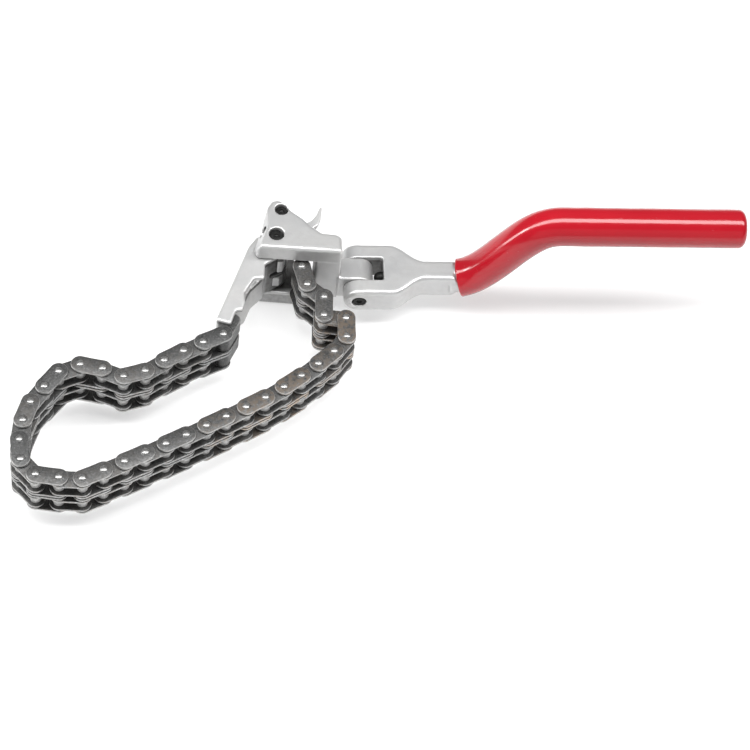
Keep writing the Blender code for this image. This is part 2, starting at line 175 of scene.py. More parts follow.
# ------------------------------------------------------------------ materials
def cast_material(name, tone=0.47, rough=0.40, inside=None, shade_band=None):
    """Satin, tumbled casting: fine grain, faint mottling, edges brightened by use,
    darker where faces meet, and optional painted shade in the slots and in a band of heights."""
    m, nt, b = new_material(name)
    co = coords(nt)
    fine = noise(nt, co, 1900.0, 3.0, 0.6)
    mid = noise(nt, co, 420.0, 4.0, 0.6)
    big = noise(nt, co, 60.0, 3.0, 0.5)
    scr = noise(nt, co, 900.0, 2.0, 0.5, (0.12, 1.0, 1.0))
    edge_mask = attribute(nt, "edge")
    pit = attribute(nt, "hollow")
    base = ramp(nt, big, [(0.30, (tone * 0.94, tone * 0.945, tone * 0.95)),
                          (0.70, (tone * 1.06, tone * 1.055, tone * 1.04))])
    base = mix(nt, span(nt, mid, 0.35, 0.7, 0.0, 0.30), base, (tone * 0.80, tone * 0.80, tone * 0.80))
    edge_wear_and_sheen = maths(nt, "MULTIPLY", edge_mask, span(nt, mid, 0.3, 0.65, 0.55, 1.0), True)
    base = mix(nt, edge_wear_and_sheen, base, (min(tone * 1.55, 0.9), min(tone * 1.55, 0.9), min(tone * 1.53, 0.9)))
    # darker where faces meet
    hollow_dark = maths(nt, "MULTIPLY", pit, span(nt, mid, 0.25, 0.6, 0.35, 0.85), True)
    base = mix(nt, hollow_dark, base, (0.11, 0.105, 0.10))
    if inside:
        # painted shade inside the slots, where little light reaches: x, y and z limits in metres, and depth
        xyz = node(nt, "ShaderNodeSeparateXYZ")
        nt.links.new(co, xyz.inputs[0])
        x0, x1, y0, y1, z0, z1, deep = inside
        m1 = maths(nt, "MULTIPLY", span(nt, xyz.outputs[0], x0, x0 + 0.002, 0.0, 1.0),
                   span(nt, xyz.outputs[0], x1, x1 + 0.0006, 1.0, 0.0))
        m2 = maths(nt, "MULTIPLY", span(nt, xyz.outputs[1], y0, y0 + 0.002, 0.0, 1.0),
                   span(nt, xyz.outputs[1], y1, y1 + 0.0006, 1.0, 0.0))
        m3 = span(nt, xyz.outputs[2], z0, z0 + 0.0008, 0.0, 1.0)
        m4 = span(nt, xyz.outputs[2], z1, z1 + 0.0006, 1.0, 0.0)
        slot_shade = maths(nt, "MULTIPLY", maths(nt, "MULTIPLY", m1, m2), maths(nt, "MULTIPLY", m3, m4))
        base = mix(nt, maths(nt, "MULTIPLY", slot_shade, span(nt, mid, 0.2, 0.8, deep - 0.12, deep + 0.1), True),
                   base, (0.035, 0.033, 0.031))
    if shade_band:
        # painted shade in a band of heights: under the arm's flange, and over the head's low plate
        sep = node(nt, "ShaderNodeSeparateXYZ")
        nt.links.new(co, sep.inputs[0])
        up = span(nt, sep.outputs[2], shade_band[0], shade_band[0] + 0.0004, 0.0, 1.0)
        dn = span(nt, sep.outputs[2], shade_band[1], shade_band[1] + 0.0004, 1.0, 0.0)
        base = mix(nt, maths(nt, "MULTIPLY", maths(nt, "MULTIPLY", up, dn), span(nt, mid, 0.3, 0.6, 0.55 * shade_band[2], 0.95 * shade_band[2]), True),
                   base, (0.06, 0.058, 0.055))
    nt.links.new(base, b.inputs["Base Color"])
    r = span(nt, mid, 0.3, 0.7, rough - 0.05, rough + 0.07)
    r = maths(nt, "SUBTRACT", r, maths(nt, "MULTIPLY", edge_wear_and_sheen, 0.10))
    r = maths(nt, "ADD", r, maths(nt, "MULTIPLY", hollow_dark, 0.2), True)
    nt.links.new(r, b.inputs["Roughness"])
    b.inputs["Metallic"].default_value = 0.60
    bumps(nt, b, [(mid, 0.00012, 0.35), (scr, 0.00003, 0.25), (fine, 0.00005, 0.35)])
    return m


def chain_material(name="chain_steel", lift=1.0):
    m, nt, b = new_material(name)
    co = coords(nt)
    fine = noise(nt, co, 2600.0, 3.0, 0.6)
    mid = noise(nt, co, 520.0, 4.0, 0.62)
    big = noise(nt, co, 95.0, 3.0, 0.55)
    tint = attribute(nt, "tint")
    rust = attribute(nt, "rust")
    grain = noise(nt, co, 1150.0, 3.0, 0.7)
    edge_mask = attribute(nt, "edge")
    base = ramp(nt, maths(nt, "ADD", maths(nt, "MULTIPLY", big, 0.55), maths(nt, "MULTIPLY", tint, 0.45)),
                [(0.25, tuple(c * lift for c in (0.062, 0.063, 0.063))), (0.5, tuple(c * lift for c in (0.085, 0.086, 0.086))),
                 (0.75, tuple(c * lift for c in (0.112, 0.112, 0.111)))])
    base = mix(nt, span(nt, grain, 0.52, 0.68, 0.0, 0.7), base, tuple(c * lift for c in (0.19, 0.19, 0.188)))
    base = mix(nt, span(nt, grain, 0.32, 0.47, 0.7, 0.0), base, tuple(c * lift for c in (0.028, 0.028, 0.028)))
    base = mix(nt, span(nt, mid, 0.42, 0.66, 0.0, 0.75), base, tuple(c * lift for c in (0.066, 0.066, 0.065)))
    patch = maths(nt, "MULTIPLY", span(nt, mid, 0.40, 0.58, 0.0, 1.0), rust, True)
    base = mix(nt, patch, base, tuple(c * lift for c in (0.130, 0.105, 0.083)))
    # brighter plate rims: painted highlight on the rims, with some wear of the steel
    edge_wear_and_sheen = maths(nt, "MULTIPLY", edge_mask, span(nt, mid, 0.3, 0.6, 0.5, 1.0), True)
    base = mix(nt, maths(nt, "MULTIPLY", edge_wear_and_sheen, 0.9), base, (0.46, 0.455, 0.445))
    nt.links.new(base, b.inputs["Base Color"])
    r = maths(nt, "ADD", span(nt, mid, 0.3, 0.7, 0.34, 0.50), maths(nt, "MULTIPLY", patch, 0.18), True)
    nt.links.new(r, b.inputs["Roughness"])
    b.inputs["Metallic"].default_value = 0.70
    bumps(nt, b, [(mid, 0.00008, 0.45), (fine, 0.00003, 0.4)])
    return m


def rivet_material():
    m, nt, b = new_material("rivet_steel")
    co = coords(nt)
    mid = noise(nt, co, 700.0, 3.0, 0.6)
    fine = noise(nt, co, 3000.0, 2.0, 0.5)
    base = ramp(nt, mid, [(0.3, (0.20, 0.20, 0.198)), (0.65, (0.36, 0.358, 0.352))])
    nt.links.new(base, b.inputs["Base Color"])
    nt.links.new(span(nt, mid, 0.3, 0.7, 0.27, 0.40), b.inputs["Roughness"])
    b.inputs["Metallic"].default_value = 0.85
    bumps(nt, b, [(fine, 0.00003, 0.3)])
    return m


def bush_material():
    m, nt, b = new_material("bush_steel")
    co = coords(nt)
    mid = noise(nt, co, 600.0, 3.0, 0.6)
    ring = noise(nt, co, 900.0, 2.0, 0.5, (0.05, 0.05, 1.0))
    base = ramp(nt, mid, [(0.3, (0.42, 0.42, 0.415)), (0.65, (0.60, 0.595, 0.585))])
    nt.links.new(base, b.inputs["Base Color"])
    nt.links.new(span(nt, ring, 0.3, 0.7, 0.26, 0.42), b.inputs["Roughness"])
    b.inputs["Metallic"].default_value = 0.45
    bumps(nt, b, [(ring, 0.00003, 0.4)])
    return m


def black_material():
    m, nt, b = new_material("black_oxide")
    co = coords(nt)
    mid = noise(nt, co, 800.0, 3.0, 0.6)
    base = ramp(nt, mid, [(0.35, (0.005, 0.005, 0.005)), (0.7, (0.016, 0.016, 0.015))])
    nt.links.new(base, b.inputs["Base Color"])
    nt.links.new(span(nt, mid, 0.3, 0.7, 0.38, 0.58), b.inputs["Roughness"])
    b.inputs["Metallic"].default_value = 0.6
    bumps(nt, b, [(mid, 0.00004, 0.4)])
    return m


def wire_material():
    m, nt, b = new_material("spring_wire")
    co = coords(nt)
    mid = noise(nt, co, 900.0, 2.0, 0.5)
    base = ramp(nt, mid, [(0.3, (0.30, 0.30, 0.30)), (0.7, (0.45, 0.45, 0.46))])
    nt.links.new(base, b.inputs["Base Color"])
    nt.links.new(span(nt, mid, 0.3, 0.7, 0.22, 0.36), b.inputs["Roughness"])
    b.inputs["Metallic"].default_value = 1.0
    bumps(nt, b, [(mid, 0.00002, 0.3)])
    return m


def grip_material():
    """Dipped vinyl: deep gloss red, a slow ripple, faint scuffs."""
    m, nt, b = new_material("grip_red")
    co = coords(nt)
    slow = noise(nt, co, 45.0, 2.0, 0.5, (0.5, 1.0, 1.0))
    mid = noise(nt, co, 220.0, 3.0, 0.55)
    scuff = noise(nt, co, 700.0, 3.0, 0.6, (0.25, 1.0, 1.0))
    base = ramp(nt, slow, [(0.3, (0.27, 0.002, 0.008)), (0.7, (0.32, 0.003, 0.010))])
    base = mix(nt, span(nt, scuff, 0.62, 0.74, 0.0, 0.35), base, (0.24, 0.003, 0.008))
    nt.links.new(base, b.inputs["Base Color"])
    r = maths(nt, "ADD", span(nt, mid, 0.3, 0.7, 0.13, 0.19), span(nt, scuff, 0.60, 0.75, 0.0, 0.14), True)
    nt.links.new(r, b.inputs["Roughness"])
    b.inputs["Specular IOR Level"].default_value = 0.34
    b.inputs["Coat Weight"].default_value = 0.35
    b.inputs["Coat Roughness"].default_value = 0.07
    bumps(nt, b, [(slow, 0.0006, 0.25), (mid, 0.00006, 0.10)])
    return m


def floor_material():
    m, nt, b = new_material("floor_pale")
    co = coords(nt)
    n = noise(nt, co, 9.0, 2.0, 0.5)
    base = ramp(nt, n, [(0.3, (0.44, 0.44, 0.44)), (0.7, (0.46, 0.46, 0.46))])
    nt.links.new(base, b.inputs["Base Color"])
    b.inputs["Roughness"].default_value = 0.9
    b.inputs["Specular IOR Level"].default_value = 0.1
    b.inputs["Emission Color"].default_value = (1.0, 1.0, 1.0, 1)
    b.inputs["Emission Strength"].default_value = 0.52
    return m


# painted shade: the slot limits darken the head's slot, the fork's slot end, the jaw arm's root and the lever's hub;
# the bands darken the head's low plate and the arm under its flange
CAST_HEAD = cast_material("cast_head", 0.46, 0.36, (-0.040, 0.0068, -0.0085, 0.03, 0.0068, 0.0322, 0.88), (-0.002, 0.0068, 0.5))
CAST_FORK = cast_material("cast_fork", 0.49, 0.34, (0.0300, 0.0370, -0.0123, 0.0010, 0.004, 0.0198, 0.80))
CAST_ARM = cast_material("cast_arm", 0.45, 0.42, (-0.0158, 0.02, -0.0135, 0.03, 0.0070, 0.0296, 0.80), (0.0286, 0.0303, 1.0))
CAST_TOOTH = cast_material("cast_tooth", 0.36, 0.42)
CAST_LEVER = cast_material("cast_lever", 0.48, 0.42, (-0.03, -0.004, -0.03, 0.04, 0.005, 0.0260, 0.85))
CHAIN = chain_material("chain_steel", 0.95)
# a brighter copy of the chain steel for the plates' upright side faces: painted light on the sides, partly the bright
# sheared steel of stamped plates
CHAIN_SIDE_LIT = chain_material("chain_side_painted_light", 3.8)
RIVET = rivet_material()
BUSH = bush_material()
BLACK = black_material()
WIRE = wire_material()
GRIP = grip_material()


# ------------------------------------------------------------------ mesh help
def arc(cx, cy, r, a0, a1, n):
    return [(cx + r * math.cos(math.radians(a0 + (a1 - a0) * i / n)),
             cy + r * math.sin(math.radians(a0 + (a1 - a0) * i / n))) for i in range(n + 1)]


def rounded(points):
    """Closed outline from (x, y, fillet radius) corners."""
    out = []
    n = len(points)
    for i in range(n):
        x, y, r = points[i]
        p = np.array((x, y), float)
        a = np.array(points[i - 1][:2], float) - p
        b = np.array(points[(i + 1) % n][:2], float) - p
        la, lb = np.linalg.norm(a), np.linalg.norm(b)
        a, b = a / la, b / lb
        ang = math.acos(max(-1, min(1, float(a @ b))))
        if r <= 0 or ang > math.radians(176):
            out.append((x, y))
            continue
        t = min(r / math.tan(ang / 2), 0.48 * la, 0.48 * lb)
        r = t * math.tan(ang / 2)
        bis = (a + b) / np.linalg.norm(a + b)
        c = p + bis * (r / math.sin(ang / 2))
        s, e = p + a * t, p + b * t
        a0 = math.atan2(s[1] - c[1], s[0] - c[0])
        a1 = math.atan2(e[1] - c[1], e[0] - c[0])
        d = (a1 - a0 + math.pi) % (2 * math.pi) - math.pi
        k = max(2, int(abs(d) / math.radians(9)))
        out += [(float(c[0] + r * math.cos(a0 + d * j / k)), float(c[1] + r * math.sin(a0 + d * j / k)))
                for j in range(k + 1)]
    return out


def offset(outline, d):
    """Outline moved inwards by d (counter-clockwise outlines)."""
    n = len(outline)
    res = []
    for i in range(n):
        p0, p1, p2 = (np.array(outline[(i + k) % n], float) for k in (-1, 0, 1))
        e1, e2 = p1 - p0, p2 - p1
        l1, l2 = np.linalg.norm(e1), np.linalg.norm(e2)
        if l1 < 1e-6 or l2 < 1e-6:
            res.append(tuple(p1))
            continue
        n1 = np.array((-e1[1], e1[0])) / l1
        n2 = np.array((-e2[1], e2[0])) / l2
        b = n1 + n2
        k = float(b @ b) / 2
        res.append(tuple(p1 + b * d / max(k, 0.5)))
    return res


def link(me, name):
    ob = bpy.data.objects.new(name, me)
    NEW.objects.link(ob)
    return ob


def from_bm(bm, name):
    me = bpy.data.meshes.new(name)
    bmesh.ops.recalc_face_normals(bm, faces=bm.faces)
    bm.to_mesh(me)
    bm.free()
    return link(me, name)


def stack(rings, name="stack"):
    """Closed solid through rings of equal point counts, capped at both ends."""
    bm = bmesh.new()
    vs = [[bm.verts.new(tuple(float(c) for c in p)) for p in ring] for ring in rings]
    n = len(rings[0])
    for a, b in zip(vs, vs[1:]):
        for i in range(n):
            j = (i + 1) % n
            bm.faces.new((a[i], a[j], b[j], b[i]))
    bm.faces.new(list(reversed(vs[0])))
    bm.faces.new(vs[-1])
    return from_bm(bm, name)


def plate(outline, z0, z1, top=0.0, bottom=0.0, round_steps=3):
    """Flat outline with rounded rims of the given widths."""
    rings = []
    for k in range(round_steps + 1) if bottom else (0,):
        if bottom:
            a = math.pi / 2 * k / round_steps
            rings.append((bottom * (1 - math.sin(a)), z0 + bottom * (1 - math.cos(a))))
        else:
            rings.append((0.0, z0))
    for k in range(round_steps + 1) if top else (0,):
        if top:
            a = math.pi / 2 * k / round_steps
            rings.append((top * (1 - math.cos(a)), z1 - top * (1 - math.sin(a))))
        else:
            rings.append((0.0, z1))
    return stack([[(x, y, z) for x, y in offset(outline, d)] for d, z in rings], "plate")


def spin(profile, matrix, steps=28, name="spin"):
    """Closed turned solid; profile of (radius, height), ends on the axis."""
    bm = bmesh.new()
    ends = []
    rings = []
    for r, z in profile:
        if r < 1e-6:
            v = bm.verts.new(matrix @ Vector((0, 0, z)))
            rings.append([v])
        else:
            rings.append([bm.verts.new(matrix @ Vector((r * math.cos(2 * math.pi * i / steps),
                                                        r * math.sin(2 * math.pi * i / steps), z)))
                          for i in range(steps)])
    for a, b in zip(rings, rings[1:]):
        for i in range(steps):
            j = (i + 1) % steps
            if len(a) == 1 and len(b) == 1:
                continue
            if len(a) == 1:
                bm.faces.new((a[0], b[i], b[j]))
            elif len(b) == 1:
                bm.faces.new((a[i], a[j], b[0]))
            else:
                bm.faces.new((a[i], a[j], b[j], b[i]))
    for ring in (rings[0], rings[-1]):
        if len(ring) > 1:
            bm.faces.new(ring)
    return from_bm(bm, name)


TZ = Matrix.Translation


def cyl(x, y, z0, z1, r, steps=32):
    return spin([(r, z0), (r, z1)], TZ((x, y, 0)), steps)


def cyl_y(x, z, y0, y1, r, steps=40):
    return spin([(r, -y1), (r, -y0)], TZ((x, 0, z)) @ Matrix.Rotation(math.pi / 2, 4, "X"), steps)


def cyl_x(y, z, x0, x1, r, steps=32):
    return spin([(r, x0), (r, x1)], TZ((0, y, z)) @ Matrix.Rotation(math.pi / 2, 4, "Y"), steps)


def box(x0, x1, y0, y1, z0, z1):
    return stack([[(x0, y0, z), (x1, y0, z), (x1, y1, z), (x0, y1, z)] for z in (z0, z1)], "box")


def applied(ob):
    deps = bpy.context.evaluated_depsgraph_get()
    me = bpy.data.meshes.new_from_object(ob.evaluated_get(deps))
    name = ob.name
    new = link(me, name + "_a")
    bpy.data.objects.remove(ob, do_unlink=True)
    new.name = name
    return new


def combine(base, others, op):
    for o in others:
        mod = base.modifiers.new("b", "BOOLEAN")
        mod.solver = "EXACT"
        mod.operation = op
        mod.object = o
    new = applied(base)
    for o in others:
        bpy.data.objects.remove(o, do_unlink=True)
    return new


def union(base, *others):
    """Overlapping shells in one mesh; the even remesh fuses them."""
    bm = bmesh.new()
    for o in (base, *others):
        bm.from_mesh(o.data)
    for o in others:
        bpy.data.objects.remove(o, do_unlink=True)
    bm.to_mesh(base.data)
    bm.free()
    return base


def fuse(ob, voxel):
    mod = ob.modifiers.new("r", "REMESH")
    mod.mode = "VOXEL"
    mod.voxel_size = voxel
    return applied(ob)


def cut(base, *others):
    return combine(base, others, "DIFFERENCE")


def soften(ob, voxel=0.36, turns=4, factor=0.5):
    """Soft cast edges: even remesh, then a light smoothing."""
    mod = ob.modifiers.new("r", "REMESH")
    mod.mode = "VOXEL"
    mod.voxel_size = voxel
    mod.adaptivity = 0.0
    mod.use_smooth_shade = True
    sm = ob.modifiers.new("s", "SMOOTH")
    sm.factor = factor
    sm.iterations = turns
    return applied(ob)


def shape_attributes(ob, gain=2.2):
    """Stores how proud (edge) or sunk (hollow) each vertex is."""
    me = ob.data
    nv, ne = len(me.vertices), len(me.edges)
    co = np.empty(nv * 3, np.float32)
    me.vertices.foreach_get("co", co)
    co = co.reshape(-1, 3)
    no = np.empty(nv * 3, np.float32)
    me.vertices.foreach_get("normal", no)
    no = no.reshape(-1, 3)
    ed = np.empty(ne * 2, np.int32)
    me.edges.foreach_get("vertices", ed)
    ed = ed.reshape(-1, 2)
    a, b = ed[:, 0], ed[:, 1]
    d = co[b] - co[a]
    ln = np.linalg.norm(d, axis=1) + 1e-9
    acc = np.zeros(nv)
    cnt = np.zeros(nv)
    np.add.at(acc, a, -(d * no[a]).sum(1) / ln)
    np.add.at(acc, b, (d * no[b]).sum(1) / ln)
    np.add.at(cnt, a, 1)
    np.add.at(cnt, b, 1)
    c = acc / np.maximum(cnt, 1)
    for _ in range(3):
        s = np.zeros(nv)
        np.add.at(s, a, c[b])
        np.add.at(s, b, c[a])
        c = 0.5 * c + 0.5 * s / np.maximum(cnt, 1)
    for name, v in (("edge", np.clip((c - 0.03) * gain * 3, 0, 1)), ("hollow", np.clip((-c - 0.03) * gain * 3, 0, 1))):
        at = me.attributes.get(name) or me.attributes.new(name, "FLOAT", "POINT")
        at.data.foreach_set("value", v.astype(np.float32))


def done(ob, name, body, mat, nodes=(), sharp=None, attrs=True):
    """Into part metres, named, shaded, riding on its body."""
    if attrs:
        shape_attributes(ob)
    ob.data.transform(Matrix.Diagonal((0.001, 0.001, 0.001, 1)) @ Matrix.Translation((OX, OY, 0)))
    ob.name = name
    ob.data.name = name
    if mat:
        ob.data.materials.clear()
        ob.data.materials.append(mat)
    ob.data.shade_smooth()
    if sharp:
        ob.data.set_sharp_from_angle(angle=math.radians(sharp))
    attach(ob, body)
    if nodes:
        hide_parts(*nodes)
    return ob


def put(me_ob, m):
    me_ob.data.transform(m)
    return me_ob


# ----------------------------------------------------------------------- head
def head_points(right=-8.6):
    return [(-46.0, 1.0, 1.4), (-45.2, -2.6, 2.6), (right, -5.0, 1.0), (right, 3.4, 1.6),
            (-11.0, 5.0, 2.0), (-17.2, 5.6, 3.0), (-22.6, 10.4, 6.0), (-24.9, 13.2, 4.0),
            (-30.2, 17.6, 3.0), (-31.8, 20.8, 3.0), (-35.2, 23.1, 2.0), (-38.0, 22.5, 2.2), (-39.8, 20.0, 2.0)]


def build_head():
    top = plate(rounded(head_points()), SLOT_HI, HEAD_H, top=1.5, bottom=0.5, round_steps=4)
    low = plate(rounded(head_points(-16.5)), 0.0, SLOT_LO, top=0.9, bottom=0.9)
    web = plate(rounded([(-19.5, -4.1, 0.8), (-8.6, -4.8, 1.0), (-8.6, 3.2, 1.4), (-11.0, 4.8, 2.0),
                         (-17.2, 5.4, 2.0), (-19.5, 7.0, 0.5)]), SLOT_LO - 1.4, SLOT_HI + 2.0)
    neck = box(-9.2, 0.0, -TONGUE_HALF, TONGUE_HALF, AXIS_Z - TONGUE_R, AXIS_Z + TONGUE_R)
    nose = cyl_y(0, AXIS_Z, -TONGUE_HALF, TONGUE_HALF, TONGUE_R, 48)
    body = union(top, low, web, neck, nose)
    body = fuse(body, 0.3)
    body = cut(body, cyl(*ARM_PIVOT, -1, HEAD_H + 1, 2.8), cyl(*LEVER_PIVOT, -1, HEAD_H + 1, 2.5),
               cyl_y(0, AXIS_Z, -9, 9, FLEX_PIN_R + 0.15),
               cyl_x(SCREW_Y, SCREW_Z, -49, -38.0, 2.6))
    d = np.array((6.2, 19.0)) / math.hypot(6.2, 19.0)
    out = np.array((-d[1], d[0]))
    base = np.array((-46.0, 1.0))
    wedge = []
    for along, shift in ((-40.0, 0.0), (9.0, 0.0), (21.0, 3.4)):
        ring = []
        for side, z in ((-3.1, HEAD_H + 0.01), (-2.6, HEAD_H - 0.9), (0.35, SLOT_HI + 0.6), (8.0, SLOT_HI + 0.6), (8.0, HEAD_H + 3.0), (-3.1, HEAD_H + 3.0)):
            q = base + d * along + out * (side + shift)
            ring.append((float(q[0]), float(q[1]), z))
        wedge.append(ring)
    body = cut(body, stack(wedge), cyl(*ARM_PIVOT, HEAD_H - 2.6, HEAD_H + 1, 3.35), cyl(*LEVER_PIVOT, HEAD_H - 2.6, HEAD_H + 1, 2.95))
    body = soften(body, 0.34, 5, 0.5)
    return done(body, "head_casting", "head", CAST_HEAD, ["head_body"])


def build_pins():
    for name, nodes, (x, y), r, rb in (("arm_pin_black", "arm_pivot_pin", ARM_PIVOT, 2.6, 3.2),
                                   ("lever_pin_black", "lever_pin", LEVER_PIVOT, 2.3, 2.8)):
        z1 = HEAD_H - 1.4
        prof = [(0, z1 - 0.7), (0.7, z1 - 0.7), (0.9, z1 - 0.55), (0.95, z1 - 0.15), (1.1, z1), (rb - 0.6, z1),
                (rb - 0.3, z1 - 0.08), (rb - 0.08, z1 - 0.3), (rb, z1 - 0.6), (rb, z1 - 1.0), (r, z1 - 1.0), (r, 1.3), (r - 0.08, 1.0),
                (r - 0.3, 0.78), (r - 0.6, 0.7), (0, 0.7)]
        ob = spin(prof, TZ((x, y, 0)), 40)
        done(ob, name, "head", BLACK, [nodes], sharp=40)
    # hollow-hex lock screw
    s = spin([(0, -41.8), (1.9, -41.8), (2.2, -41.6), (2.3, -41.3), (2.3, -39.2), (2.1, -39.0), (0, -39.0)],
             TZ((0, SCREW_Y, SCREW_Z)) @ Matrix.Rotation(math.pi / 2, 4, "Y"), 36)
    s = cut(s, cyl_x(SCREW_Y, SCREW_Z, -45.0, -40.4, 1.2, 6))
    done(s, "lock_screw_black", "head", BLACK, ["pin_lock_screw"], sharp=35)
    h = FORK_HALF - 0.5
    p = spin([(0, h - 0.5), (1.0, h - 0.5), (1.15, h - 0.1), (1.3, h), (2.4, h), (2.75, h - 0.12), (3.0, h - 0.45),
              (3.0, -h + 0.45), (2.75, -h + 0.12), (2.4, -h), (1.3, -h), (1.15, -h + 0.1), (1.0, -h + 0.5), (0, -h + 0.5)],
             TZ((0, 0, AXIS_Z)) @ Matrix.Rotation(math.pi / 2, 4, "X"), 44)
    done(p, "flex_pin_black", "handle", BLACK, ["flex_pin"], sharp=40)


# ------------------------------------------------------------------------ arm
def even_ring(outline, n):
    """Outline as n evenly spaced points, starting at its first corner."""
    p = np.array(list(outline) + [outline[0]], float)
    run = np.concatenate(([0.0], np.cumsum(np.hypot(*np.diff(p, axis=0).T))))
    t = np.linspace(0.0, run[-1], n, endpoint=False)
    return list(zip(np.interp(t, run, p[:, 0]).tolist(), np.interp(t, run, p[:, 1]).tolist()))


def build_arm():
    hx, hy = ARM_PIVOT
    jx, jy = JAW_PIN
    top, low = SLOT_HI - 0.4, SLOT_LO + 0.4
    left = [(-44.5, 9.6, 1.5), (-48.2, 4.4, 4.0), (-57.0, -18.5, 8.0), (jx - 3.2, jy + 6.6, 1.2)]
    hub = [(x, y, 0) for x, y in arc(hx, hy, 5.9, -75, 75, 16)]
    upper = rounded([(jx + 3.2, jy + 4.6, 1.0), (-54.4, -29.6, 0.9), (-51.6, -29.2, 0.8), (-50.3, -25.2, 1.2),
                     (-50.5, -20.2, 1.2), (-46.3, -12.8, 1.0), (-41.8, -12.6, 1.0), (-41.3, -5.0, 1.5)] + hub + left)
    lower = rounded([(jx + 3.2, jy + 4.6, 1.0), (-54.0, -30.0, 1.0), (-50.2, -26.0, 1.5), (-47.4, -18.8, 1.5),
                     (-42.2, -13.4, 1.5), (-41.3, -5.0, 1.5)] + hub + left)
    foot = rounded([(jx + 3.2, jy + 4.6, 1.0), (-55.8, -31.0, 1.0), (-52.6, -24.0, 3.0), (-47.6, -12.5, 3.0),
                    (-41.3, -5.0, 1.5)] + hub + left)
    flank = rounded([(jx + 3.0, jy + 5.2, 1.0), (-55.6, -30.2, 1.5), (-51.4, -25.6, 3.0), (-48.4, -18.6, 4.0),
                     (-42.6, -12.0, 2.0), (-42.0, -5.6, 1.5)] + hub + left)
    arm = union(plate(upper, top - 1.9, top, top=0.8), plate(foot, low, 15.6, bottom=0.8))
    low_ring, top_ring = even_ring(lower, 260), even_ring(flank, 260)
    arm = union(arm, stack([[(x, y, 14.8) for x, y in even_ring(foot, 260)], [(x, y, 17.5) for x, y in low_ring],
                            [(x, y, top - 1.2) for x, y in top_ring]]))
    ang = math.degrees(math.atan2(hy - jy, hx - jx))
    m = TZ((jx, jy, 0)) @ Matrix.Rotation(math.radians(ang), 4, "Z")
    oblong = arc(9.0, 0, 3.4, -90, 90, 14) + arc(0, 0, 3.4, 90, 270, 14)
    lugs = [put(plate(oblong, z0, z1, 0.3, 0.3), m) for z0, z1 in ((CHAIN_Z + 1.95, CHAIN_Z + 9.55),
                                                                (CHAIN_Z - 9.55, CHAIN_Z - 1.95))]
    lugs = soften(fuse(cut(union(*lugs), cyl(jx, jy, low - 1, top + 1, 1.7)), 0.24), 0.26, 2, 0.5)
    done(lugs, "jaw_lugs_steel", "jaw_arm", CHAIN, [])
    arm = fuse(arm, 0.3)
    arm = cut(arm, cyl(jx, jy, low - 1, top + 1, 1.7), cyl(hx, hy, low - 1, top + 1, 2.95),
              box(hx - 2.0, -28.0, hy - 8.0, hy + 2.0, CHAIN_Z - 1.2, CHAIN_Z + 1.2))
    arm = soften(arm, 0.32, 4, 0.5)
    low_tooth = plate(rounded([(-37.5, -2.5, 0.3), (-34.4, -2.5, 0.6), (-32.8, -0.4, 0.8), (-32.4, 2.0, 0.5), (-33.0, 5.0, 0.4),
                               (-37.0, 3.0, 0.3)]), 11.6, 17.4, 0.5, 0.4)
    top_tooth = plate(rounded([(-35.9, -3.4, 0.3), (-33.4, -3.0, 0.6), (-32.6, -0.6, 0.8), (-32.2, 2.2, 0.5), (-33.0, 5.0, 0.4),
                               (-36.4, 3.0, 0.3)]), 22.7, 30.0, 0.5, 0.4)
    teeth = soften(fuse(union(low_tooth, top_tooth), 0.22), 0.26, 3, 0.5)
    done(teeth, "jaw_teeth_casting", "jaw_arm", CAST_TOOTH, [])
    return done(arm, "jaw_arm_casting", "jaw_arm", CAST_ARM, ["jaw_arm"])


def build_lever():
    lx, ly = LEVER_PIVOT
    hub = [(x, y, 0) for x, y in arc(lx, ly, 4.3, -70, 180, 40)]
    hub += [(-39.8, 14.6, 0.4), (-38.9, 12.4, 0.5), (-36.6, 12.3, 0.6)]
    tail = rounded([(-30.5, 16.5, 0.5), (-24.0, 18.0, 3.0), (-19.6, 19.4, 4.0), (-17.0, 21.8, 4.0), (-15.6, 25.6, 4.0),
                    (-14.9, 31.3, 0.3), (-15.9, 31.5, 0.4), (-17.6, 27.2, 4.0), (-19.8, 24.0, 4.0),
                    (-23.0, 22.2, 3.0), (-30.5, 21.5, 0.5)])
    lever = union(plate(rounded(hub), 16.0, 25.0, 0.6, 0.6), plate(tail, 21.4, 24.4, 0.35, 0.35))
    lever = fuse(lever, 0.22)
    lever = cut(lever, cyl(lx, ly, 10, 30, 2.65))
    lever = soften(lever, 0.26, 3, 0.5)
    return done(lever, "release_lever_casting", "release_lever", CAST_LEVER, ["release_lever"])


def coil(points, radius, name, body, node_name, sides=8):
    pts = [np.array(p, float) for p in points]
    rings = []
    up = None
    for i, p in enumerate(pts):
        t = pts[min(i + 1, len(pts) - 1)] - pts[max(i - 1, 0)]
        t /= np.linalg.norm(t)
        if up is None:
            up = np.cross(t, (0.3, 0.5, 0.81))
        up = up - t * (up @ t)
        up /= np.linalg.norm(up)
        w = np.cross(t, up)
        rings.append([tuple(p + radius * (math.cos(2 * math.pi * k / sides) * up + math.sin(2 * math.pi * k / sides) * w))
                      for k in range(sides)])
    return done(stack(rings), name, body, WIRE, [node_name], sharp=50)


